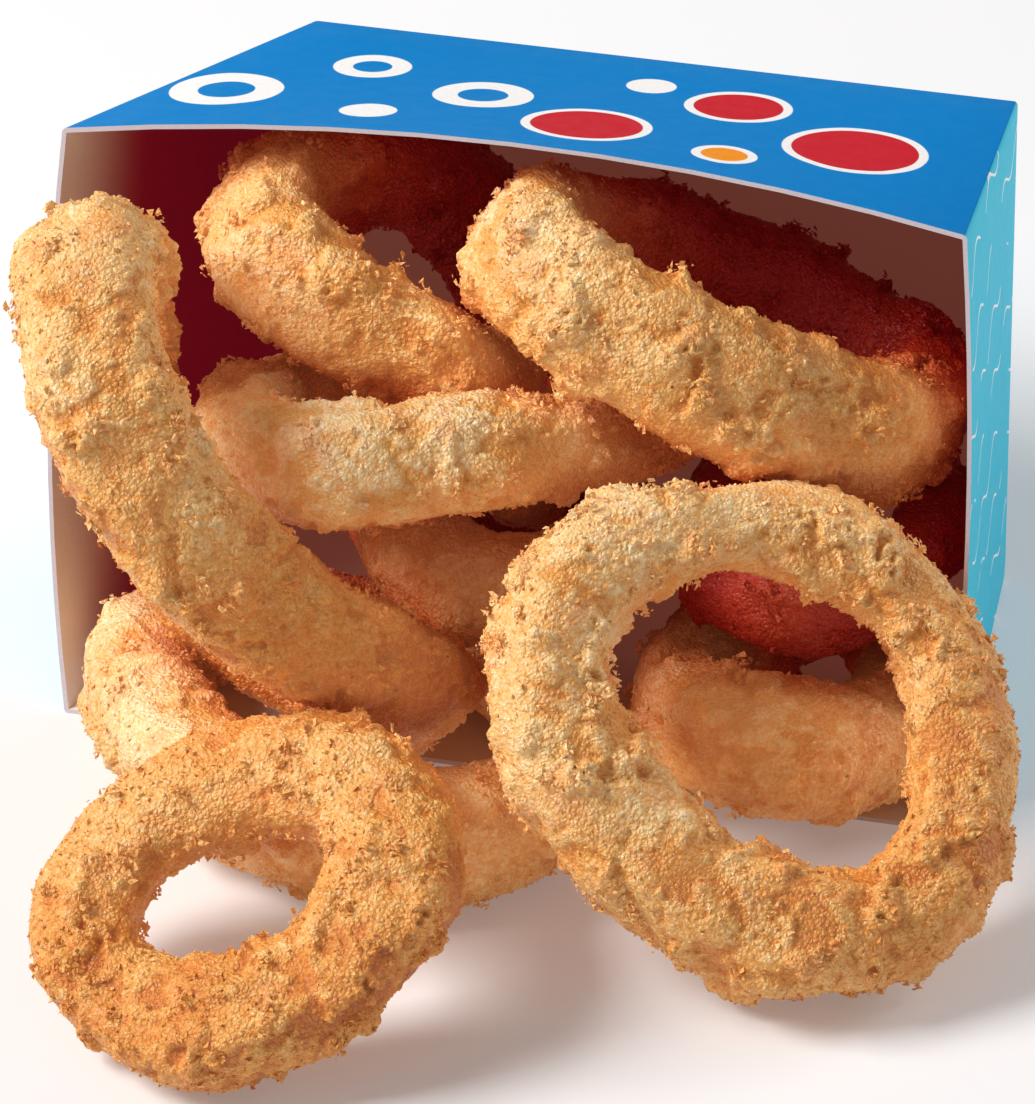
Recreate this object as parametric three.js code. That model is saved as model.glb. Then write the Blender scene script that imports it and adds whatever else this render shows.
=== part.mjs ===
// A side of breaded onion rings that spills from a folded paperboard carton.
//
// Millimetres, +Z up. The carton lies on its widest panel with its mouth towards -Y.
// X = 0 is the middle of the mouth, Y = 0 the front edge of the lower panel, and Z = 0
// the surface that everything rests on. The finished group is then moved forward, so that
// its origin is on the underside of that panel.

import * as THREE from "three";

// ---- Carton: driving dimensions ---------------------------------------------------------

const CARTON = {
  mouthWidth: 128,
  mouthHeight: 85,
  mouthLean: 21, // how far the top edge of the mouth stands behind its bottom edge
  baseWidth: 102.5,
  baseHeight: 71,
  baseLean: 15, // the same at the closed end
  baseShift: 6, // the closed end sits a little to the right
  depth: 59.5, // along the lower panel, from the mouth to the closed end
  board: 0.6,
  topBow: 5.5, // outward bow of each free panel at the mouth; the lower panel stays flat
  leftBow: 2.4,
  rightBow: 1.8,
};
const STEPS_PER_PANEL = 10;
const STEPS_DEEP = 7;
const ORIGIN_BEHIND_EDGE = 30; // along the lower panel, from its front edge

// ---- Rings: driving dimensions ----------------------------------------------------------
//
// centre   middle of the ring's loop
// facing   heading of the ring's axis, degrees: 0 is towards -Y, 90 towards +X
// rise     elevation of that axis, degrees: 90 when the ring lies flat
// turn     turn of the loop about its own axis, degrees
// half     half widths of the loop's centre line, along its own two directions
// band     thickness of the crusted section, from the hole outwards
// height   its size along the axis, as the onion was sliced
// saddle   warp out of the ring's plane: amount and phase in degrees
// pear     share by which the loop is three-sided instead of oval
// heavy    uneven thickness: share and direction in degrees

const RINGS = {
  ring_front_small: {
    centre: [-17.8, -56.2, 17.9],
    facing: -19,
    rise: 64,
    turn: -46,
    half: [18.5, 21.7],
    band: 17.3,
    height: 13.5,
    saddle: [-0.2, 50],
    pear: 0.02,
    heavy: [0.08, 60],
  },
  ring_front_large: {
    centre: [45.3, -20.9, 31.5],
    facing: 32,
    rise: 45,
    turn: 34,
    half: [25, 30.5],
    band: 16,
    height: 17.5,
    saddle: [-1, 15],
    pear: 0.045,
    heavy: [0.2, -165],
  },
  ring_left_tall: {
    centre: [-34.3, -10.7, 48.2],
    facing: 132,
    rise: 24,
    turn: -105,
    half: [40.5, 20],
    band: 14.2,
    height: 19.3,
    saddle: [6.4, 40],
    pear: 0,
    heavy: [0.14, -145],
  },
  ring_top_right: {
    centre: [26.6, 28.4, 59.6],
    facing: 131,
    rise: 57,
    turn: -106,
    half: [30.5, 20.5],
    band: 14,
    height: 20,
    saddle: [0.4, 40],
    pear: -0.01,
    heavy: [0.09, -15],
  },
  ring_top_left: {
    centre: [-16.1, 31.4, 52.8],
    facing: 106,
    rise: 37,
    turn: -81,
    half: [29, 22.3],
    band: 13,
    height: 17,
    saddle: [-6.2, 5],
    pear: 0.01,
    heavy: [0.2, 165],
  },
  ring_middle: {
    centre: [-7, 13.1, 49.8],
    facing: 194,
    rise: 70,
    turn: -154,
    half: [30.5, 19],
    band: 13.5,
    height: 16,
    saddle: [0, 0],
    pear: -0.01,
    heavy: [0.19, -160],
  },
  ring_floor_left: {
    centre: [-18.8, -6.4, 10.1],
    facing: 6,
    rise: 92,
    turn: -29,
    half: [34.2, 22],
    band: 15,
    height: 16.6,
    saddle: [-0.4, 70],
    pear: -0.04,
    heavy: [0.24, -75],
  },
  ring_centre_back: {
    centre: [-5, 26.2, 20.4],
    facing: -8,
    rise: 115,
    turn: 32,
    half: [15.5, 21.5],
    band: 13.5,
    height: 15.5,
    saddle: [2.8, 55],
    pear: 0,
    heavy: [0.14, 150],
  },
  ring_floor_right: {
    centre: [39.2, 13, 12.6],
    facing: 0,
    rise: 98,
    turn: -1,
    half: [15, 22],
    band: 15.5,
    height: 17,
    saddle: [-2.4, 10],
    pear: -0.03,
    heavy: [0.16, -85],
  },
  ring_back_right: {
    centre: [40.5, 31.1, 26.7],
    facing: 15,
    rise: 96,
    turn: -12,
    half: [14.5, 22],
    band: 12.5,
    height: 14.5,
    saddle: [0.2, 30],
    pear: 0,
    heavy: [0.2, -145],
  },
};

// ---- Crust ------------------------------------------------------------------------------

const RING_STEPS = 36;
const SECTION_STEPS = 14;
const SQUARENESS = 2.6; // superellipse exponent: 2 is an oval, more is a rounded box
const CRAG_RELIEF = 0.45; // how far the crust's crags stand in or out of the section
const WAVE_RELIEF = 0.3; // the same for its long undulations
const WAVES = [4, 5, 7]; // undulations around the loop
const FIRST_SEED = 101; // each ring has its own crags

const CRUST_COLOUR = 0xd99a4e;
const BOARD_COLOUR = 0x0a80c4;

const radians = THREE.MathUtils.degToRad;
const lerp = THREE.MathUtils.lerp;
const TURN = 2 * Math.PI;

function seededRandom(seed) {
  let state = seed;
  return () => {
    state = (state + 0x6d2b79f5) | 0;
    let mixed = Math.imul(state ^ (state >>> 15), 1 | state);
    mixed ^= mixed + Math.imul(mixed ^ (mixed >>> 7), 61 | mixed);
    return ((mixed ^ (mixed >>> 14)) >>> 0) / 4294967296;
  };
}

// A closed grid of points that wraps both ways, as faces that point outwards.
function torusGeometry(points, around, across) {
  const index = [];
  for (let i = 0; i < around; i++) {
    for (let j = 0; j < across; j++) {
      const nextRow = ((i + 1) % around) * across;
      const nextColumn = (j + 1) % across;
      const a = i * across + j;
      const b = nextRow + j;
      const c = nextRow + nextColumn;
      const d = i * across + nextColumn;
      if ((i + j) % 2) index.push(a, b, d, b, c, d);
      else index.push(a, b, c, a, c, d);
    }
  }
  return new THREE.BufferGeometry().setFromPoints(points).setIndex(index);
}

// Where the loop's centre line is at an angle, in the ring's own frame (axis along Z).
function loopPoint(ring, angle) {
  const [halfX, halfY] = ring.half;
  const [warp, warpPhase] = ring.saddle;
  const radius = 1 + ring.pear * Math.cos(3 * angle);
  return new THREE.Vector3(
    halfX * radius * Math.cos(angle),
    halfY * radius * Math.sin(angle),
    warp * Math.cos(2 * angle + radians(warpPhase)),
  );
}

// The section's outline: a point on a superellipse of unit half widths.
function sectionPoint(angle) {
  const soften = (value) => Math.sign(value) * Math.abs(value) ** (2 / SQUARENESS);
  return [soften(Math.cos(angle)), soften(Math.sin(angle))];
}

function ringGeometry(ring, seed) {
  const random = seededRandom(seed);
  const waves = WAVES.map((count) => ({ count, phase: TURN * random() }));
  const [share, direction] = ring.heavy;
  const points = [];
  for (let i = 0; i < RING_STEPS; i++) {
    const angle = (TURN * i) / RING_STEPS;
    const step = TURN / RING_STEPS;
    const middle = loopPoint(ring, angle);
    const along = loopPoint(ring, angle + step).sub(loopPoint(ring, angle - step));
    along.normalize();
    const outward = along.clone().cross(new THREE.Vector3(0, 0, 1)).normalize();
    const axial = outward.clone().cross(along);
    const thick = 1 + share * Math.cos(angle - radians(direction));
    const wave = waves.reduce((sum, w) => sum + Math.cos(w.count * angle + w.phase), 0);
    for (let j = 0; j < SECTION_STEPS; j++) {
      const [x, y] = sectionPoint((TURN * j) / SECTION_STEPS);
      const crag = CRAG_RELIEF * (2 * random() - 1);
      const relief = crag + (WAVE_RELIEF * wave) / waves.length;
      const radial = x * ((ring.band * thick) / 2 + relief);
      const height = y * ((ring.height * (1 + thick)) / 4 + relief);
      points.push(
        middle.clone().addScaledVector(outward, radial).addScaledVector(axial, height),
      );
    }
  }
  return torusGeometry(points, RING_STEPS, SECTION_STEPS);
}

function ringMesh(name, ring, seed) {
  const crust = new THREE.MeshStandardMaterial({
    color: CRUST_COLOUR,
    roughness: 0.75,
    metalness: 0,
  });
  const mesh = new THREE.Mesh(ringGeometry(ring, seed), crust);
  mesh.name = name;
  mesh.position.set(...ring.centre);
  mesh.rotateZ(radians(ring.facing));
  mesh.rotateX(radians(90 - ring.rise));
  mesh.rotateZ(radians(ring.turn));
  return mesh;
}

// ---- Carton -----------------------------------------------------------------------------

// One cross-section of the sleeve, `inset` inside its outer face, from t = 0 at the mouth
// to t = 1 at the closed end. The corners are sharp creases, and each free panel bows.
function cartonLoop(t, inset) {
  const c = CARTON;
  const half = lerp(c.mouthWidth, c.baseWidth, t) / 2;
  const height = lerp(c.mouthHeight, c.baseHeight, t);
  const lean = lerp(c.mouthLean, c.baseLean, t);
  const shift = c.baseShift * t;
  const fade = (1 - t) ** 1.5;
  const bows = [0, c.rightBow, c.topBow, c.leftBow];
  const corners = [
    [-half + inset, inset],
    [half - inset, inset],
    [half - inset, height - inset],
    [-half + inset, height - inset],
  ];
  const outward = [[0, -1], [1, 0], [0, 1], [-1, 0]];
  const points = [];
  for (let panel = 0; panel < corners.length; panel++) {
    const [fromX, fromZ] = corners[panel];
    const [toX, toZ] = corners[(panel + 1) % corners.length];
    for (let step = 0; step < STEPS_PER_PANEL; step++) {
      const s = step / STEPS_PER_PANEL;
      const bow = bows[panel] * fade * 4 * s * (1 - s);
      const x = lerp(fromX, toX, s) + outward[panel][0] * bow;
      const z = lerp(fromZ, toZ, s) + outward[panel][1] * bow;
      points.push(new THREE.Vector3(x + shift, c.depth * t + (lean * z) / height, z));
    }
  }
  return points;
}

// The folded board: an outer and an inner skin joined at the mouth's cut edge, each closed
// at the far end by a flat panel.
function cartonGeometry() {
  const around = 4 * STEPS_PER_PANEL;
  const innerEnd = 1 - CARTON.board / CARTON.depth;
  const loops = [];
  for (let row = STEPS_DEEP; row >= 0; row--) loops.push(cartonLoop(row / STEPS_DEEP, 0));
  for (let row = 0; row <= STEPS_DEEP; row++)
    loops.push(cartonLoop((innerEnd * row) / STEPS_DEEP, CARTON.board));
  const points = loops.flat();
  const index = [];
  for (let row = 0; row + 1 < loops.length; row++) {
    for (let i = 0; i < around; i++) {
      const a = row * around + i;
      const b = row * around + ((i + 1) % around);
      index.push(a, b, a + around, b, b + around, a + around);
    }
  }
  const closeEnd = (loop, start, facesOut) => {
    const hub = points.length;
    const middle = loop.reduce((sum, point) => sum.add(point), new THREE.Vector3());
    points.push(middle.divideScalar(around));
    for (let i = 0; i < around; i++) {
      const next = start + ((i + 1) % around);
      index.push(hub, ...(facesOut ? [next, start + i] : [start + i, next]));
    }
  };
  closeEnd(loops[0], 0, true);
  closeEnd(loops.at(-1), (loops.length - 1) * around, false);
  return new THREE.BufferGeometry().setFromPoints(points).setIndex(index);
}

function cartonMesh() {
  const board = new THREE.MeshStandardMaterial({
    color: BOARD_COLOUR,
    roughness: 0.45,
    metalness: 0,
  });
  const mesh = new THREE.Mesh(cartonGeometry(), board);
  mesh.name = "carton";
  return mesh;
}

const side = new THREE.Group();
side.add(cartonMesh());
Object.entries(RINGS).forEach(([name, ring], place) => {
  side.add(ringMesh(name, ring, FIRST_SEED + place));
});
side.position.y = -ORIGIN_BEHIND_EDGE;

export default side;
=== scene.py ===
# The looks of a side of breaded onion rings in a folded carton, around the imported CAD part.
#
# The frame is the CAD's own, in metres. Sizes in this file are in mm unless they say
# otherwise, and MM turns them into metres.

import math

import bmesh
import bpy
import numpy as np
from mathutils import Matrix, Vector
from mathutils.bvhtree import BVHTree


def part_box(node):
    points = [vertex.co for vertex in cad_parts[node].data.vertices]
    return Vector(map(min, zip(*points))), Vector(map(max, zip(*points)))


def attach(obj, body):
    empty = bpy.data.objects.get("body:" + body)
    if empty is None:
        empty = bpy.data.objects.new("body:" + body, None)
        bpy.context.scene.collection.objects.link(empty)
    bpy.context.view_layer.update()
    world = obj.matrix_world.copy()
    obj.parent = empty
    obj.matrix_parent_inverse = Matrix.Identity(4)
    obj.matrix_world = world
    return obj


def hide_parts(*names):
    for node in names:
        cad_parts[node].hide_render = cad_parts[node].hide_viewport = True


MM = 0.001
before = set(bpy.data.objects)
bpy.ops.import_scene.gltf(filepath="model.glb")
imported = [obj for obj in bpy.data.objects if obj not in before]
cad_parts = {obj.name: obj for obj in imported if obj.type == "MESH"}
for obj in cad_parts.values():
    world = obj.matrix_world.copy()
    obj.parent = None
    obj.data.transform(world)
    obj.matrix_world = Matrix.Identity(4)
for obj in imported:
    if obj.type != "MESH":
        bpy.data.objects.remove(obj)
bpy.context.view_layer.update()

# ---- What is built ----------------------------------------------------------------------

# The plane of the carton's mouth: its foot is this far in front of the origin.
MOUTH_BEHIND, MOUTH_LEAN, MOUTH_HEIGHT = 30.0, 21.0, 85.0

# name of the CAD ring: seed, grid of the crust, loose crumbs for each square cm, clumps of
# them on the whole ring, how browned it is (-1 pale to 1 dark), and by how many mm its
# painted shade is set deeper than it lies, as other rings cover it
RINGS = {
    "ring_front_small": (11, 0.54, 65, 120, 0.55, 0),
    "ring_front_large": (12, 0.58, 58, 170, -0.05, 0),
    "ring_left_tall": (13, 0.59, 50, 150, 0.35, 0),
    "ring_top_right": (14, 0.58, 58, 160, 0.1, 0),
    "ring_top_left": (15, 0.59, 52, 130, 0.35, 0),
    "ring_middle": (16, 0.58, 52, 120, -0.25, 0),
    "ring_floor_left": (17, 0.68, 45, 100, -0.2, 0),
    "ring_centre_back": (18, 0.8, 25, 40, 0.2, 3),
    "ring_floor_right": (19, 0.66, 40, 70, 0.1, 0),
    "ring_back_right": (20, 0.85, 25, 40, 0.2, 26),
}

CORE_SHRINK = 0.7  # how deep the crust's core lies in the CAD solid, under its crumbs
LUMPS = ((15.0, 1.2), (6.5, 0.7))  # size and height of the batter's uneven thickness

# Crumbs cling to the batter in ragged islands. The noise that places them has a broad part,
# which is BROAD_SIZE across, and these sizes and weights. COVER is added to it. The batter
# is bare below the first limit, and covered above the second.
BROAD_SIZE, BROAD_WEIGHT = 15.0, 0.5
ISLANDS = ((5.0, 0.9), (2.2, 0.8), (1.0, 0.5))
COVER = 0.55
CLING_LIMITS = (-0.1, 0.3)

FUSED_CRUMBS = ((1.8, 0.25), (1.0, 0.28))  # size and height of those in the crust
FUSED_WARP = 0.35  # how ragged they are, as a share of their size
FUSED_EDGE = 0.4  # share of a crumb's width over which its side rises
FUSED_LAYER = 0.3  # how far they all stand out
HEAP_SIZE, HEAP_HEIGHT = 4.4, 1.5  # where they pile up
HEAP_LIMITS = (0.26, 0.64)  # the noise where a pile starts, and where it is full

BROWN_SIZE, BROWN_WEIGHT = 9.0, 0.5  # patches that are browner
SIDE_SHADE_TO = np.array([0.22, 0.0, -0.5])  # painted shade: each ring's crust is darker to its right and foot

SMALLEST_CRUMB, LARGEST_CRUMB = 0.2, 0.68  # half lengths of the loose crumbs
MOSTLY_SMALL = 2.6  # the power that makes large ones rare
CRUMB_SHAPES, CRUMB_POINTS = 24, 5
STEEPEST_CRUMB = 55  # degrees that it may tilt away from the crust
CLUMP_CRUMBS = (8, 26)
CLUMP_RANGE = (0.5, 1.3)  # clumps' sizes, as shares of a middling one's
CLUMP_SPREAD, CLUMP_HEIGHT = 0.85, 1.2  # a middling clump
CLUMP_COARSER = 0.5  # how much longer a clump's crumbs are
BARE_SHARE = 0.1  # loose crumbs on bare batter, as a share of those on covered batter

# How the heap closes in a point is found with rays: how many, their reach, how wide they
# fan out and how far above the crust they start. SHADE_BLUR is how far neighbours count.
RAYS, RAY_REACH, RAY_FAN, RAY_START = 20, 55.0, 0.98, 0.5
SHADE_BLUR = 3.0
BATCH = 4096  # points worked out at once

# Each noise of a ring adds its own number to the ring's seed.
LUMP_SEED, CRUMB_SEED, BROAD_SEED, ISLAND_SEED = 3, 9, 19, 20
HEAP_SEED, WARP_SEED, BROWN_SEED = 30, 60, 90
HEIGHT_TURN, TONE_TURN = 7, 8  # which of a cell's random numbers says what

SHAPE_SEED = 5
SQUARE_CM = 100  # in square mm
WELD = 0.01  # CAD points this near are one

# ---- Seeded noise -----------------------------------------------------------------------

MIXER, TURN_STEP, SEED_STEP = 0x45D9F3B, 0x9E3779B1, 7919
LOW_16, LOW_32 = 0xFFFF, 0xFFFFFFFF


def scrambled(value):
    value = (value ^ (value >> 16)) * MIXER & LOW_32
    value = (value ^ (value >> 16)) * MIXER & LOW_32
    return value ^ (value >> 16)


def cell_hash(cells, seed):
    x, y, z = (cells[:, axis] & LOW_16 for axis in range(3))
    return scrambled(scrambled(scrambled(x + SEED_STEP * seed) + y) + z)


def share(hashed, turn):
    """The turn-th random number from 0 to 1 that a cell holds."""
    return scrambled((hashed + TURN_STEP * turn) & LOW_32) / (LOW_32 + 1.0)


def eased(part):
    return part * part * (3 - 2 * part)


def smooth_noise(points, size, seed):
    """Noise from -1 to 1 that varies over the given size."""
    scaled = points / size
    low = np.floor(scaled).astype(np.int64)
    part = eased(scaled - low)
    total = np.zeros(len(points))
    for corner in range(8):
        step = np.array([corner & 1, corner >> 1 & 1, corner >> 2])
        weight = np.prod(np.where(step, part, 1 - part), axis=1)
        total += weight * share(cell_hash(low + step, seed), 1)
    return 2 * total - 1


def flake_field(points, size, seed):
    """Cells of crumbs: how far each point is inside its cell, and the cell's hash."""
    cells = np.floor(points / size).astype(np.int64)
    nearest = np.full(len(points), 1e9)
    second = nearest.copy()
    owner = np.zeros(len(points), np.int64)
    for offset in np.ndindex(3, 3, 3):
        cell = cells + np.array(offset) - 1
        hashed = cell_hash(cell, seed)
        seat = (cell + np.stack([share(hashed, k) for k in (1, 2, 3)], 1)) * size
        gap = np.linalg.norm(points - seat, axis=1)
        closer = gap < nearest
        second = np.where(closer, nearest, np.minimum(second, gap))
        owner = np.where(closer, hashed, owner)
        nearest = np.where(closer, gap, nearest)
    return (second - nearest) / size, owner


def ramp(value, low, high):
    return eased(np.clip((value - low) / (high - low), 0, 1))


# ---- Meshes -----------------------------------------------------------------------------


def solid_mesh(node):
    """A CAD solid's mesh with its points joined up."""
    mesh = bmesh.new()
    mesh.from_mesh(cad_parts[node].data)
    bmesh.ops.remove_doubles(mesh, verts=mesh.verts, dist=WELD * MM)
    return mesh


def linked_object(name, data):
    piece = bpy.data.objects.new(name, data)
    bpy.context.scene.collection.objects.link(piece)
    return piece


def add_mesh(name, points, faces, attributes=None, smooth=(False,)):
    """A mesh object from points in metres, groups of faces as index arrays, each group
    smooth or not and with its own material slot, and point attributes."""
    mesh = bpy.data.meshes.new(name)
    corners = np.concatenate([f.ravel() for f in faces]).astype(np.int32)
    sizes = np.concatenate([np.full(len(f), f.shape[1]) for f in faces])
    starts = np.concatenate([[0], np.cumsum(sizes)[:-1]]).astype(np.int32)
    mesh.vertices.add(len(points))
    mesh.vertices.foreach_set("co", np.asarray(points, np.float32).ravel())
    mesh.loops.add(len(corners))
    mesh.loops.foreach_set("vertex_index", corners)
    mesh.polygons.add(len(sizes))
    mesh.polygons.foreach_set("loop_start", starts)
    mesh.update(calc_edges=True)
    shading = np.concatenate([np.full(len(f), soft) for f, soft in zip(faces, smooth)])
    mesh.polygons.foreach_set("use_smooth", shading)
    slots = np.concatenate([np.full(len(f), slot, np.int32) for slot, f in enumerate(faces)])
    mesh.polygons.foreach_set("material_index", slots)
    for key, values in (attributes or {}).items():
        layer = mesh.attributes.new(key, "FLOAT", "POINT")
        layer.data.foreach_set("value", np.asarray(values, np.float32))
    return linked_object(name, mesh)


def core_of(node, grid):
    """The CAD solid's form as an even grid of points: points in mm, normals and quads."""
    mesh = solid_mesh(node)
    data = bpy.data.meshes.new("core")
    mesh.to_mesh(data)
    mesh.free()
    piece = linked_object("core", data)
    round_off = piece.modifiers.new("round", "SUBSURF")
    round_off.levels = 2
    remesh = piece.modifiers.new("grid", "REMESH")
    remesh.mode = "VOXEL"
    remesh.voxel_size = grid * MM
    even = piece.modifiers.new("even", "SMOOTH")
    even.factor = 0.5
    even.iterations = 4
    graph = bpy.context.evaluated_depsgraph_get()
    shaped = bpy.data.meshes.new_from_object(piece.evaluated_get(graph))
    points = np.zeros(len(shaped.vertices) * 3)
    normals = points.copy()
    shaped.vertices.foreach_get("co", points)
    shaped.vertices.foreach_get("normal", normals)
    corners = np.zeros(len(shaped.loops), np.int32)
    shaped.loops.foreach_get("vertex_index", corners)
    bpy.data.objects.remove(piece)
    bpy.data.meshes.remove(data)
    bpy.data.meshes.remove(shaped)
    return points.reshape(-1, 3) / MM, normals.reshape(-1, 3), corners.reshape(-1, 4)


def quad_vectors(points, quads):
    """Vectors square to the quads, twice as long as each one's area."""
    across = points[quads[:, 2]] - points[quads[:, 0]]
    along = points[quads[:, 3]] - points[quads[:, 1]]
    return np.cross(across, along)


def point_normals(points, quads):
    vectors = quad_vectors(points, quads)
    normals = np.zeros_like(points)
    for corner in range(4):
        np.add.at(normals, quads[:, corner], vectors)
    return normals / np.maximum(np.linalg.norm(normals, axis=1), 1e-9)[:, None]


# ---- Where the crust must stop ----------------------------------------------------------

CLEARANCE = 0.12  # between crumbs and board or floor
NEAR_CARTON = 3  # only points this near the carton's box are tested
BOARD_REACH = 2.5  # and only against board this near
BESIDE = 0.02  # that isn't further off to a side, as it is past an edge


def inner_board():
    """The carton's inner faces, for keeping crumbs out of the board."""
    mesh = solid_mesh("carton")
    low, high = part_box("carton")
    middle = (low + high) / 2
    outer = [f for f in mesh.faces if f.normal.dot(f.calc_center_median() - middle) > 0]
    bmesh.ops.delete(mesh, geom=outer, context="FACES")
    mesh.normal_update()
    tree = BVHTree.FromBMesh(mesh)
    mesh.free()
    return tree


BOARD = inner_board()


def kept_clear(points):
    """Points in mm, moved off the board and the floor."""
    low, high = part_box("carton")
    points = points.copy()
    points[:, 2] = np.maximum(points[:, 2], CLEARANCE)
    behind_front = points[:, 1] > low.y / MM - NEAR_CARTON
    below_top = points[:, 2] < high.z / MM + NEAR_CARTON
    for index in np.nonzero(behind_front & below_top)[0]:
        place = Vector(points[index]) * MM
        spot, normal = BOARD.find_nearest(place, BOARD_REACH * MM)[:2]
        if spot is None:
            continue
        height = (place - spot).dot(normal)
        aside = ((place - spot) - normal * height).length
        if height < CLEARANCE * MM and aside < BESIDE * MM:
            points[index] = (place + normal * (CLEARANCE * MM - height)) / MM
    return points


# ---- How closed in the heap is ----------------------------------------------------------


def whole_heap():
    mesh = bmesh.new()
    for node in (*RINGS, "carton"):
        mesh.from_mesh(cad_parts[node].data)
    tree = BVHTree.FromBMesh(mesh)
    mesh.free()
    return tree


HEAP = whole_heap()


def closed_in(node, points, random):
    """The share of the space over each point, in mm, that other crust and board take up.
    It is found at the CAD ring's own points and spread over the finer ones."""
    mesh = solid_mesh(node)
    mesh.normal_update()
    seats = np.array([v.co[:] for v in mesh.verts])
    facing = np.array([v.normal[:] for v in mesh.verts])
    mesh.free()
    ball = random.normal(size=(len(seats), RAYS, 3))
    ball /= np.linalg.norm(ball, axis=2)[:, :, None]
    rays = facing[:, None, :] + RAY_FAN * ball
    starts = seats + facing * RAY_START * MM
    taken = np.zeros(len(seats))
    for index, (start, fan) in enumerate(zip(starts, rays)):
        start = Vector(start)
        hits = [HEAP.ray_cast(start, Vector(ray), RAY_REACH * MM)[0] for ray in fan]
        taken[index] = sum(hit is not None for hit in hits) / RAYS
    seats = (seats / MM).astype(np.float32)
    result = np.zeros(len(points))
    for first in range(0, len(points), BATCH):
        part = points[first : first + BATCH].astype(np.float32)
        gap = ((part[:, None, :] - seats[None]) ** 2).sum(axis=2)
        weight = np.exp(-gap / (2 * SHADE_BLUR**2)) + 1e-12
        result[first : first + BATCH] = (weight @ taken) / weight.sum(axis=1)
    return result


# ---- Crust ------------------------------------------------------------------------------


def crumb_shapes(random):
    """Small angular shards: points of unit half length, and the faces of each."""
    shapes, faces = [], []
    while len(shapes) < CRUMB_SHAPES:
        ball = random.normal(size=(CRUMB_POINTS, 3))
        ball /= np.linalg.norm(ball, axis=1)[:, None]
        mesh = bmesh.new()
        for point in ball:
            mesh.verts.new(point)
        bmesh.ops.convex_hull(mesh, input=mesh.verts)
        mesh.verts.index_update()
        hull = np.array([[v.index for v in f.verts] for f in mesh.faces])
        mesh.free()
        if hull.shape != (2 * CRUMB_POINTS - 4, 3):
            continue
        stretch = np.array([1.0, random.uniform(0.6, 0.95), random.uniform(0.45, 0.85)])
        shapes.append(ball * stretch)
        faces.append(hull)
    return np.array(shapes), np.array(faces)


SHAPES, SHAPE_FACES = crumb_shapes(np.random.default_rng(SHAPE_SEED))


def frames_around(normals, random):
    """A random rotation about each normal, tilted away from it."""
    count = len(normals)
    tilt = np.radians(random.uniform(0, STEEPEST_CRUMB, count))
    away = random.normal(size=(count, 3))
    side = np.cross(normals, away)
    side /= np.linalg.norm(side, axis=1)[:, None]
    other = np.cross(normals, side)
    up = normals * np.cos(tilt)[:, None] + side * np.sin(tilt)[:, None]
    turn = random.uniform(0, 2 * math.pi, count)[:, None]
    first = np.cross(other, up)
    first /= np.linalg.norm(first, axis=1)[:, None]
    second = np.cross(up, first)
    across = first * np.cos(turn) + second * np.sin(turn)
    return np.stack([across, np.cross(up, across), up], axis=1)


def clinging(points, seed):
    """Where crumbs cling to the batter: 0 where it is bare, 1 where they cover it."""
    total = COVER + BROAD_WEIGHT * smooth_noise(points, BROAD_SIZE, seed + BROAD_SEED)
    for place, (size, weight) in enumerate(ISLANDS):
        total += weight * smooth_noise(points, size, seed + ISLAND_SEED + place)
    return ramp(total, *CLING_LIMITS)


def crust_relief(core, cling, seed):
    """How far the crust stands out of each point of the core, and how raised and of what
    tone it is there."""
    lift = np.full(len(core), -CORE_SHRINK)
    for place, (size, height) in enumerate(LUMPS):
        lift += height * smooth_noise(core, size, seed + LUMP_SEED + place)
    stand = np.full(len(core), FUSED_LAYER)
    single = np.zeros(len(core))
    tone = np.zeros(len(core))
    for place, (size, height) in enumerate(FUSED_CRUMBS):
        warp = [smooth_noise(core, size, seed + WARP_SEED + axis) for axis in range(3)]
        ragged = core + FUSED_WARP * size * np.stack(warp, 1)
        inside, owner = flake_field(ragged, size, seed + CRUMB_SEED + place)
        bump = ramp(inside, 0.0, FUSED_EDGE) * (0.2 + 0.8 * share(owner, HEIGHT_TURN))
        stand += height * bump
        single += 0.5 * bump
        tone += 0.5 * (share(owner, TONE_TURN) * 2 - 1)
    heap = ramp(smooth_noise(core, HEAP_SIZE, seed + HEAP_SEED), *HEAP_LIMITS)
    stand += HEAP_HEIGHT * heap * (0.65 + 0.35 * single)
    raised = cling * (0.4 + 0.8 * single)
    return lift + cling * stand, np.clip(raised, 0, 1), np.clip(tone, -1, 1)


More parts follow.
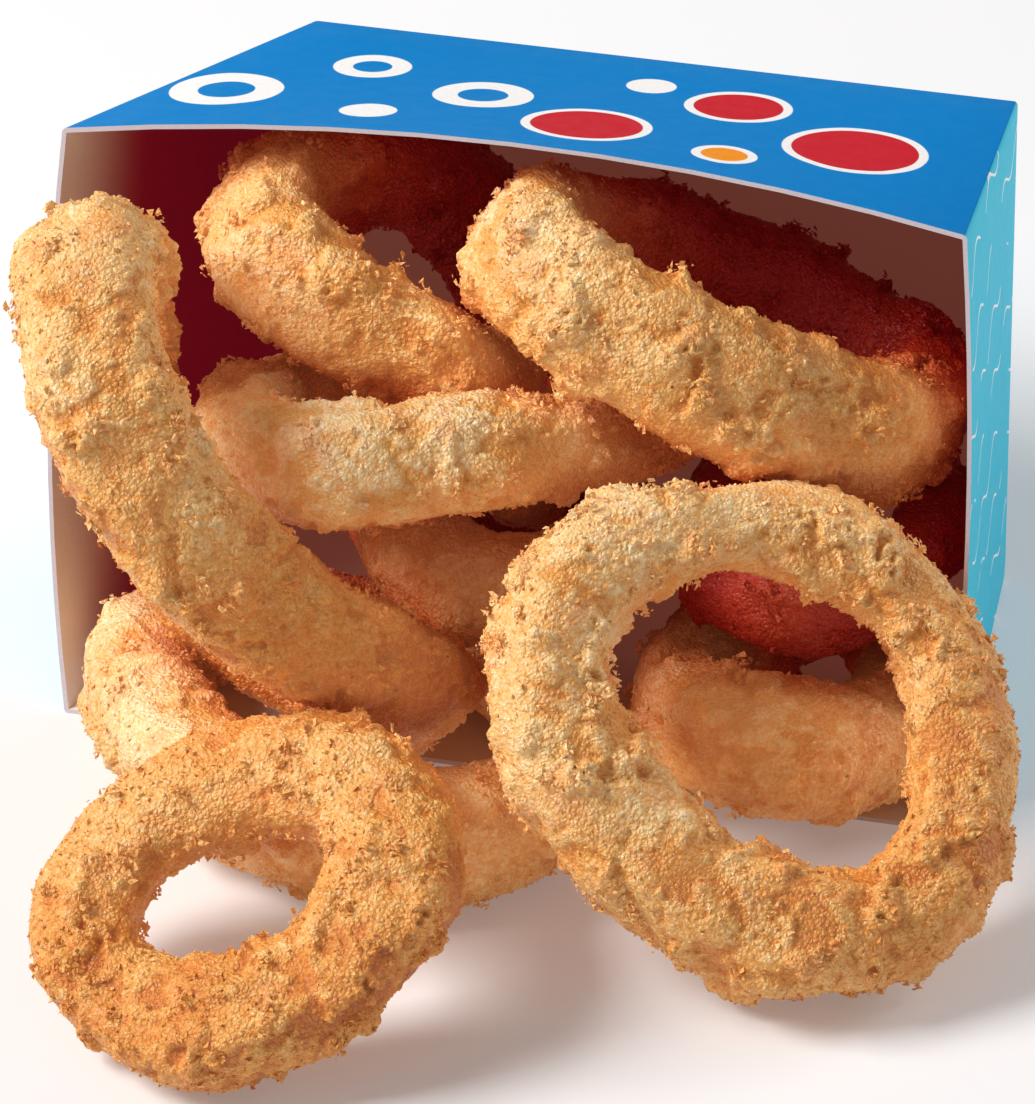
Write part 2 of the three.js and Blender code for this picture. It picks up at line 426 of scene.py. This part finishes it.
def loose_crumbs(points, quads, cling, density, clumps, seed):
    """Crumbs half sunk in the crust, some of them in raised clumps: their points and faces,
    and how raised and of what tone each one is."""
    random = np.random.default_rng(seed)
    normals = point_normals(points, quads)
    double_area = np.linalg.norm(quad_vectors(points, quads), axis=1)
    weight = double_area * (BARE_SHARE + cling[quads[:, 0]])
    weight /= weight.sum()
    singles = int(density * double_area.sum() / 2 / SQUARE_CM)
    single = random.choice(len(quads), size=singles, p=weight)
    heart = random.choice(len(quads), size=clumps, p=weight)
    members = random.integers(*CLUMP_CRUMBS, clumps)
    chosen = np.concatenate([single, np.repeat(heart, members)])
    count = len(chosen)
    clumped = np.arange(count) >= len(single)
    facing = normals[quads[chosen, 0]]
    large = np.repeat(random.uniform(*CLUMP_RANGE, clumps), members)
    large = np.concatenate([np.ones(len(single)), large])
    spread = random.normal(size=(count, 3)) * (CLUMP_SPREAD * large * clumped)[:, None]
    spread -= facing * np.einsum("nc,nc->n", spread, facing)[:, None]
    pile = np.exp(-((np.linalg.norm(spread, axis=1) / CLUMP_SPREAD / large) ** 2) / 2)
    rise = clumped * pile * CLUMP_HEIGHT * large * random.uniform(0, 1, count)
    longer = random.uniform(0, 1, count) ** MOSTLY_SMALL
    length = SMALLEST_CRUMB + (LARGEST_CRUMB - SMALLEST_CRUMB) * longer
    length *= 1 + CLUMP_COARSER * clumped
    rise += length * random.uniform(0, 0.5, count)
    seat = points[quads].mean(axis=1)[chosen] + spread + facing * rise[:, None]
    turned = frames_around(facing, random)
    kind = random.integers(0, len(SHAPES), count)
    local = SHAPES[kind] * length[:, None, None]
    placed = np.einsum("nkj,njc->nkc", local, turned) + seat[:, None, :]
    start = (np.arange(count) * CRUMB_POINTS)[:, None, None]
    faces = (SHAPE_FACES[kind] + start).reshape(-1, 3)
    tone = np.repeat(random.uniform(-1, 1, count), CRUMB_POINTS)
    raised = np.repeat(random.uniform(0.6, 1, count), CRUMB_POINTS)
    return placed.reshape(-1, 3), faces, raised, tone


def browning_and_side_shade(points, core, browned, seed):
    """How browned each point is, in patches, and how far painted shade darkens it to the
    ring's right and foot.
    """
    low, high = core.min(axis=0), core.max(axis=0)
    way = (points - (low + high) / 2) / (high - low) * 2
    patches = smooth_noise(points, BROWN_SIZE, seed + BROWN_SEED)
    # the last term is painted shade, darker to the ring's right and foot
    return browned + BROWN_WEIGHT * patches + way @ SIDE_SHADE_TO


def crusted_ring(node, seed, grid, density, clumps, browned, extra_shade_depth):
    core, normals, quads = core_of(node, grid)
    cling = clinging(core, seed)
    lift, raised, tone = crust_relief(core, cling, seed)
    points = core + normals * lift[:, None]
    extra, extra_faces, extra_raised, extra_tone = loose_crumbs(
        points, quads, cling, density, clumps, seed
    )
    everything = kept_clear(np.concatenate([points, extra]))
    piece = add_mesh(
        node + "_crust",
        everything * MM,
        [quads, extra_faces + len(points)],
        {
            "raised": np.concatenate([raised, extra_raised]),
            "tone": np.concatenate([tone, extra_tone]),
            "toast_and_shade": browning_and_side_shade(everything, core, browned, seed),
            "closed": closed_in(node, everything, np.random.default_rng(seed)),
            "extra_shade_depth": np.full(len(everything), extra_shade_depth),
        },
        smooth=[True, False],
    )
    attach(piece, "root")
    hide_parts(node)
    return piece


# ---- Node materials ---------------------------------------------------------------------


def colour(code):
    """An sRGB hex code as Blender's linear colour."""
    values = [int(code[k : k + 2], 16) / 255 for k in (1, 3, 5)]
    linear = [v / 12.92 if v <= 0.04045 else ((v + 0.055) / 1.055) ** 2.4 for v in values]
    return (*linear, 1.0)


class Shader:
    """Builds a node material in few words."""

    def __init__(self, name):
        self.material = bpy.data.materials.new(name)
        self.material.use_nodes = True
        self.tree = self.material.node_tree
        self.tree.nodes.clear()
        self.surface = self.add("ShaderNodeBsdfPrincipled")
        output = self.add("ShaderNodeOutputMaterial")
        self.tree.links.new(self.surface.outputs[0], output.inputs["Surface"])
        metres = self.add("ShaderNodeTexCoord").outputs["Object"]
        self.place = self.vector("MULTIPLY", metres, (1.0 / MM,) * 3)

    def add(self, kind, values=None, **settings):
        made = self.tree.nodes.new(kind)
        for key, value in settings.items():
            setattr(made, key, value)
        for key, value in (values or {}).items():
            self.put(made.inputs[key], value)
        return made

    def put(self, socket, value):
        if isinstance(value, bpy.types.NodeSocket):
            self.tree.links.new(value, socket)
        else:
            socket.default_value = value

    def set(self, **values):
        for key, value in values.items():
            self.put(self.surface.inputs[key.replace("_", " ")], value)

    def put_in_turn(self, made, values):
        for socket, value in zip(made.inputs, values):
            self.put(socket, value)
        return made.outputs

    def math(self, operation, *values):
        return self.put_in_turn(self.add("ShaderNodeMath", operation=operation), values)[0]

    def vector(self, operation, *values):
        made = self.add("ShaderNodeVectorMath", operation=operation)
        gives_number = operation in ("LENGTH", "DOT_PRODUCT")
        return self.put_in_turn(made, values)[1 if gives_number else 0]

    def attribute(self, name):
        return self.add("ShaderNodeAttribute", attribute_name=name).outputs["Fac"]

    def noise(self, size, detail=3.0, roughness=0.55):
        values = {
            "Vector": self.place,
            "Scale": 1.0 / size,
            "Detail": detail,
            "Roughness": roughness,
        }
        return self.add("ShaderNodeTexNoise", values).outputs["Fac"]

    def warped(self, size, amount):
        """The place in mm, moved about by noise of the given size and amount."""
        values = {"Vector": self.place, "Scale": 1.0 / size, "Detail": 0.0}
        push = self.add("ShaderNodeTexNoise", values).outputs["Color"]
        return self.vector("MULTIPLY_ADD", push, (amount,) * 3, self.place)

    def voronoi(self, size, seat=None):
        values = {"Vector": seat or self.place, "Scale": 1.0 / size}
        return self.add("ShaderNodeTexVoronoi", values).outputs["Distance"]

    def between(self, value, low, high, to_low=0.0, to_high=1.0):
        made = self.add("ShaderNodeMapRange", interpolation_type="SMOOTHSTEP")
        return self.put_in_turn(made, (value, low, high, to_low, to_high))[0]

    def ramp(self, value, stops):
        made = self.add("ShaderNodeValToRGB", {"Fac": value})
        band = made.color_ramp
        while len(band.elements) < len(stops):
            band.elements.new(0.5)
        for element, (place, code) in zip(band.elements, stops):
            element.position = place
            element.color = colour(code)
        return made.outputs["Color"]

    def mix(self, share, first, second, blend="MIX"):
        made = self.add("ShaderNodeMix", data_type="RGBA", blend_type=blend)
        for name, value in (("Factor", share), ("A", first), ("B", second)):
            socket = [s for s in made.inputs if s.name == name and s.enabled][0]
            self.put(socket, value)
        return [s for s in made.outputs if s.enabled][0]

    def filtered(self, share, tint, through):
        """The tint, seen through a coloured filter by the given share."""
        return self.mix(share, tint, self.mix(1.0, tint, through, "MULTIPLY"))

    def bump(self, height, distance, strength):
        values = {"Height": height, "Distance": distance * MM, "Strength": strength}
        return self.add("ShaderNodeBump", values).outputs["Normal"]

    def glow(self, amount, tint):
        """Light that the surface gives off. It isn't sampled as a lamp, to save time."""
        self.set(Emission_Color=tint, Emission_Strength=amount)
        self.material.cycles.emission_sampling = "NONE"


def depth_inside(s):
    """How far a point is behind the plane of the carton's mouth, in mm."""
    lean = MOUTH_LEAN / MOUTH_HEIGHT
    return s.math("ADD", s.vector("DOT_PRODUCT", s.place, (0.0, 1.0, -lean)), MOUTH_BEHIND)


# ---- Crust's material -------------------------------------------------------------------

PATCH, GRANULE, GRIT = 1.3, 0.6, 0.3  # sizes of the crust's fine patterns

# Where each colour is on the crust's scale, from the brownest to the palest, and what moves
# a place along it.
CRUST_SCALE = [
    (0.0, "#A54E18"),
    (0.22, "#CE7B30"),
    (0.42, "#E09C4C"),
    (0.6, "#EBB66E"),
    (0.8, "#F4D29C"),
    (1.0, "#FCECCC"),
]
START, BY_RAISED, BY_TONE, BY_PATCH = 0.29, 0.4, 0.06, 0.45
BY_GRANULE, BY_GLINT, BY_TOAST_AND_SHADE = 0.25, 0.3, -0.26

WARM, WARM_SIZE, WARM_SHARE = "#D97C34", 6.0, 0.35
BURNT, BURNT_SPACING, BURNT_PATCH = "#8A3312", 3.4, 7.0

# Painted shade: filters that darken the crust where it is closed in, deep and deepest, and
# the limits between which each sets in: the share that is closed in, and the depth behind
# the mouth.
CLOSED_IN_SHADE, CLOSED_LIMITS = (0.88, 0.5, 0.42, 1.0), (0.48, 0.92)
DEEP, DEEP_LIMITS = (1.0, 0.3, 0.4, 1.0), (4.0, 27.0)
DEEPEST, DEEPEST_LIMITS = (0.7, 0.35, 0.7, 1.0), (17.0, 30.0)

# The glow stands for light that has come through the crust of the whole heap.
NEAR_GLOW, DEEP_GLOW = (1.0, 0.42, 0.14, 1.0), (0.8, 0.06, 0.05, 1.0)
OPEN_GLOW, CLOSED_GLOW = 0.045, 0.12


def crust_colour(s, granules, grit, filtered_by):
    """The crust's colour, with painted glints and the painted shade to each ring's right and
    foot in it.
    """
    patches = s.math("SUBTRACT", s.noise(PATCH, 3.0, 0.6), 0.5)
    value = s.math("MULTIPLY_ADD", s.attribute("raised"), BY_RAISED, START)
    value = s.math("MULTIPLY_ADD", s.attribute("tone"), BY_TONE, value)
    value = s.math("MULTIPLY_ADD", patches, BY_PATCH, value)
    value = s.math("MULTIPLY_ADD", granules, BY_GRANULE, value)
    # painted glints: paler specks where the grit noise is high
    value = s.math("MULTIPLY_ADD", s.between(grit, 0.62, 0.75), BY_GLINT, value)
    # browning, with the painted shade to each ring's right and foot
    value = s.math("MULTIPLY_ADD", s.attribute("toast_and_shade"), BY_TOAST_AND_SHADE, value)
    golden = s.mix(1.0, s.ramp(value, CRUST_SCALE), filtered_by, "MULTIPLY")
    warm = s.between(s.noise(WARM_SIZE, 1.0), 0.5, 0.7)
    golden = s.mix(s.math("MULTIPLY", warm, WARM_SHARE), golden, colour(WARM))
    spots = s.between(s.voronoi(BURNT_SPACING), 0.1, 0.05)
    rare = s.between(s.noise(BURNT_PATCH, 1.0), 0.6, 0.68)
    return s.mix(s.math("MULTIPLY", spots, rare), golden, colour(BURNT))


def crust_material(name, translucency, filtered_by):
    s = Shader(name)
    granules = s.math("SUBTRACT", 0.8, s.voronoi(GRANULE, seat=s.warped(GRANULE, 0.3)))
    grit = s.noise(GRIT, 1.0)
    golden = crust_colour(s, granules, grit, filtered_by)
    closed = s.attribute("closed")
    # the ring's extra depth sets its painted shade in sooner
    depth = s.math("ADD", depth_inside(s), s.attribute("extra_shade_depth"))
    deep = s.between(depth, *DEEP_LIMITS)
    # painted shade where the heap closes in, and deeper behind the carton's mouth
    golden = s.filtered(s.between(closed, *CLOSED_LIMITS), golden, CLOSED_IN_SHADE)
    golden = s.filtered(deep, golden, DEEP)
    golden = s.filtered(s.between(depth, *DEEPEST_LIMITS), golden, DEEPEST)
    light = s.math("MULTIPLY_ADD", s.between(closed, 0.05, 0.6), CLOSED_GLOW, OPEN_GLOW)
    light = s.math("MULTIPLY", light, s.between(closed, 0.5, 0.9, 1.0, 0.15))
    light = s.math("MULTIPLY", light, s.math("MULTIPLY_ADD", deep, -0.75, 1.0))
    s.glow(light, s.mix(deep, NEAR_GLOW, DEEP_GLOW))
    fine = s.math("MULTIPLY_ADD", granules, 1.2, s.math("MULTIPLY", grit, 0.8))
    s.set(
        Base_Color=golden,
        Roughness=s.between(grit, 0.3, 0.75, 0.26, 0.5),
        Subsurface_Weight=translucency,
        Subsurface_Radius=(1.0, 0.5, 0.25),
        Subsurface_Scale=1.4 * MM,
        Specular_IOR_Level=0.5,
        Normal=s.bump(fine, 0.34, 0.8),
    )
    return s.material


# ---- Carton -----------------------------------------------------------------------------

BLUE, TEAL, WHITE = "#007FCA", "#48C6E2", "#F3F4F5"
RED, ORANGE = "#C9202E", "#F2951F"

# Plain dots on the upper panel: across from the panel's middle and back from its front
# edge, radius, what fills them.
DOTS = [
    (-47.0, 20.0, 8.0, "ring"),
    (-31.0, 36.0, 5.5, "ring"),
    (-24.0, 13.0, 4.0, "white"),
    (-12.0, 27.0, 7.0, "ring"),
    (6.0, 17.0, 9.0, RED),
    (22.0, 36.0, 7.5, RED),
    (27.0, 12.0, 4.5, ORANGE),
    (42.0, 24.0, 10.0, RED),
    (8.0, 41.0, 3.5, "white"),
]
OUTLINE = 1.3  # white around a filled dot
HOLE_SHARE = 0.5  # a ring's inner radius, as a share of its outer one
DOT_BLUR, LINE_BLUR = 0.08, 0.06  # half width of a printed edge

# Wavy lines on the side panels.
WAVE_LENGTH, WAVE_HEIGHT, WAVE_SPACING, LINE = 13.0, 1.8, 11.0, 0.45

# The board's inner side: its painted shade colour in the depth, how deep that is, and the
# painted glow there that stands for light from the heap.
LOWER_BOARD = ("lower_board", "#8A6A62", 40.0, (0.1, 0.028, 0.018, 1.0))
WALL_BOARD = ("wall_board", "#8A1E26", 19.0, (0.06, 0.001, 0.005, 1.0))

# Material slots of the carton.
LOWER, WALL, UPPER_PRINT, SIDE_PRINT, CUT = range(5)

CREASE = 0.55  # how far the board is rounded off at a crease
TOP_BAND = 10  # the upper panel is this near the carton's top


def paper_bump(s):
    fibres = s.noise(0.5, 2.0, 0.7)
    waves = s.noise(26.0, 1.0, 0.5)
    return s.bump(s.math("MULTIPLY_ADD", waves, 3.0, fibres), 0.1, 0.35)


def board_material(name, shaded, reach, scattered):
    """The unprinted inner side of the board. It is painted darker with depth, as painted
    shade, down to the given colour at the given depth, and glows there with painted light
    that stands for the light the heap scatters."""
    s = Shader(name)
    cloud = s.noise(18.0, 3.0)
    fibre = s.noise(0.8, 4.0, 0.7)
    tint = s.mix(cloud, colour("#EDE8E6"), colour("#DED6D3"))
    tint = s.mix(s.between(fibre, 0.62, 0.8), tint, colour("#D3C7BF"))
    # painted shade and painted glow, both growing with depth behind the mouth
    deep = s.between(depth_inside(s), 0.0, reach)
    s.glow(deep, scattered)
    s.set(
        Base_Color=s.mix(deep, tint, colour(shaded)),
        Roughness=0.62,
        Specular_IOR_Level=0.25,
        Normal=paper_bump(s),
    )
    return s.material


def cut_material():
    s = Shader("cut_board")
    fibre = s.noise(0.4, 3.0, 0.7)
    tint = s.mix(fibre, colour("#BDB6C0"), colour("#D6D1D8"))
    s.set(Base_Color=tint, Roughness=0.7, Specular_IOR_Level=0.2)
    return s.material


def printed(s, tint):
    """Ink on board: satin, with a fine speckle."""
    speckle = s.between(s.noise(0.5, 2.0), 0.35, 0.7)
    tint = s.mix(s.math("MULTIPLY", speckle, 0.06), tint, colour("#10283A"))
    s.set(
        Base_Color=tint,
        Roughness=s.between(s.noise(3.0, 3.0), 0.3, 0.7, 0.5, 0.6),
        Specular_IOR_Level=0.04,
        Normal=paper_bump(s),
    )
    return s.material


def upper_print():
    """Blue, with plain dots and rings scattered over it."""
    s = Shader("blue_print")
    split = s.add("ShaderNodeSeparateXYZ", {"Vector": s.place})
    flat = s.add("ShaderNodeCombineXYZ", {"X": split.outputs[0], "Y": split.outputs[1]})
    front_edge = upper_front_edge()
    tint = colour(BLUE)

    def within(far, radius):
        return s.between(far, radius + DOT_BLUR, radius - DOT_BLUR)

    for across, back, radius, fill in DOTS:
        centre = (across, front_edge + back, 0.0)
        far = s.vector("LENGTH", s.vector("SUBTRACT", flat.outputs[0], centre))
        tint = s.mix(within(far, radius), tint, colour(WHITE))
        if fill == "ring":
            tint = s.mix(within(far, radius * HOLE_SHARE), tint, colour(BLUE))
        elif fill != "white":
            tint = s.mix(within(far, radius - OUTLINE), tint, colour(fill))
    return printed(s, tint)


def side_print():
    """Light teal, with thin white wavy lines that break off here and there."""
    s = Shader("teal_print")
    split = s.add("ShaderNodeSeparateXYZ", {"Vector": s.place})
    across = s.math("ADD", split.outputs[0], split.outputs[1])
    wave = s.math("SINE", s.math("DIVIDE", across, WAVE_LENGTH / (2 * math.pi)))
    height = s.math("MULTIPLY_ADD", wave, WAVE_HEIGHT, split.outputs[2])
    off_line = s.math("PINGPONG", height, WAVE_SPACING / 2)
    line = s.between(off_line, LINE / 2 + LINE_BLUR, LINE / 2 - LINE_BLUR)
    kept = s.between(s.noise(9.0, 1.0), 0.47, 0.5)
    tint = s.mix(s.math("MULTIPLY", line, kept), colour(TEAL), colour(WHITE))
    return printed(s, tint)


def upper_front_edge():
    """How far forward the upper panel's front edge is, in mm."""
    points = np.array([v.co[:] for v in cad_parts["carton"].data.vertices]) / MM
    high = points[points[:, 2] > points[:, 2].max() - TOP_BAND]
    return float(high[:, 1].min())


def carton():
    """The folded board: the CAD solid's form with rounded creases and a cut edge."""
    low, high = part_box("carton")
    middle = (low + high) / 2
    mesh = solid_mesh("carton")
    bmesh.ops.join_triangles(
        mesh,
        faces=mesh.faces,
        angle_face_threshold=math.radians(12),
        angle_shape_threshold=math.radians(60),
    )

    def is_outside(face):
        return face.normal.dot(face.calc_center_median() - middle) > 0

    def is_cut(face):
        return face.normal.y < -0.6 and is_outside(face)

    def slot_of(face):
        normal = face.normal
        if is_cut(face):
            return CUT
        if is_outside(face):
            return UPPER_PRINT if abs(normal.z) > 0.75 else SIDE_PRINT
        return LOWER if normal.z > 0.6 or normal.y < -0.6 else WALL

    creases = [
        e
        for e in mesh.edges
        if len(e.link_faces) == 2
        and e.calc_face_angle(0) > math.radians(30)
        and all(is_outside(f) and not is_cut(f) for f in e.link_faces)
    ]
    bmesh.ops.bevel(
        mesh, geom=creases, offset=CREASE * MM, segments=3, profile=0.5, affect="EDGES"
    )
    mesh.normal_update()
    for face in mesh.faces:
        face.smooth = True
        face.material_index = slot_of(face)
    data = bpy.data.meshes.new("carton_board")
    mesh.to_mesh(data)
    mesh.free()
    data.materials.append(board_material(*LOWER_BOARD))
    data.materials.append(board_material(*WALL_BOARD))
    data.materials.append(upper_print())
    data.materials.append(side_print())
    data.materials.append(cut_material())
    data.set_sharp_from_angle(angle=math.radians(28))
    piece = linked_object("carton_board", data)
    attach(piece, "root")
    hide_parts("carton")


# ---- Camera, light and floor ------------------------------------------------------------

AZIMUTH, ELEVATION, ROLL = 18.75, 36.0, -3.92  # degrees
DISTANCE = 1.365  # metres, as the next line and the lamps' places and sizes
TARGET = Vector((0.0047, -0.030, 0.0385))
FOCAL_PIXELS, IMAGE_HEIGHT = 10000.0, 1104.0
SENSOR_WIDTH = 36.0

# name: place, size, power in watts, colour
LAMPS = {
    "key": ((-0.85, -0.36, 0.95), 0.6, 20.0, "#FFFCF8"),
    "side": ((0.8, 0.6, 0.45), 0.5, 4.5, "#FFFFFF"),
}
BACKDROP, BACKDROP_STRENGTH = "#FFF4F0", 0.24
FLOOR_HALF = 3.0  # metres
FLOOR_GLOW = 0.15


def camera():
    az, el = math.radians(AZIMUTH), math.radians(ELEVATION)
    back = Vector((math.sin(az) * math.cos(el), -math.cos(az) * math.cos(el), math.sin(el)))
    right = (-back).cross(Vector((0, 0, 1))).normalized()
    up = right.cross(-back)
    roll = math.radians(ROLL)
    across = right * math.cos(roll) + up * math.sin(roll)
    upward = up * math.cos(roll) - right * math.sin(roll)
    lens = bpy.data.cameras.new("camera")
    lens.sensor_width = SENSOR_WIDTH
    lens.sensor_fit = "AUTO"
    lens.lens = FOCAL_PIXELS / IMAGE_HEIGHT * SENSOR_WIDTH
    lens.clip_start, lens.clip_end = 0.05, 20.0
    eye = linked_object("camera", lens)
    turned = Matrix((across, upward, back)).transposed().to_4x4()
    eye.matrix_world = Matrix.Translation(TARGET + back * DISTANCE) @ turned
    bpy.context.scene.camera = eye


def area_light(name, place, size, power, tint):
    lamp = bpy.data.lights.new(name, "AREA")
    lamp.size = size
    lamp.energy = power
    lamp.color = colour(tint)[:3]
    holder = linked_object(name, lamp)
    holder.location = place
    holder.rotation_euler = (TARGET - Vector(place)).to_track_quat("-Z", "Y").to_euler()


def floor_material():
    """A white table that glows a little, as one that is lit from below."""
    s = Shader("white_floor")
    s.set(Base_Color=colour("#DEDFE2"), Roughness=0.8, Specular_IOR_Level=0.1)
    s.glow(FLOOR_GLOW, colour("#FFFFFF"))
    return s.material


def studio():
    world = bpy.data.worlds.new("studio")
    world.use_nodes = True
    backdrop = world.node_tree.nodes["Background"]
    backdrop.inputs["Color"].default_value = colour(BACKDROP)
    backdrop.inputs["Strength"].default_value = BACKDROP_STRENGTH
    bpy.context.scene.world = world
    bpy.context.scene.view_settings.view_transform = "Standard"
    for name, settings in LAMPS.items():
        area_light(name, *settings)
    corners = np.array([[-1, -1, 0], [1, -1, 0], [1, 1, 0], [-1, 1, 0]]) * FLOOR_HALF
    floor = add_mesh("floor", corners, [np.array([[0, 1, 2, 3]])])
    floor.data.materials.append(floor_material())


# ---- Everything -------------------------------------------------------------------------

camera()
studio()
carton()
crust = crust_material("golden_crust", 0.2, (1.0, 0.94, 0.82, 1.0))
crumb = crust_material("pale_crumb", 0.0, (1.0, 0.89, 0.7, 1.0))
for node, settings in RINGS.items():
    ring = crusted_ring(node, *settings)
    ring.data.materials.append(crust)
    ring.data.materials.append(crumb)
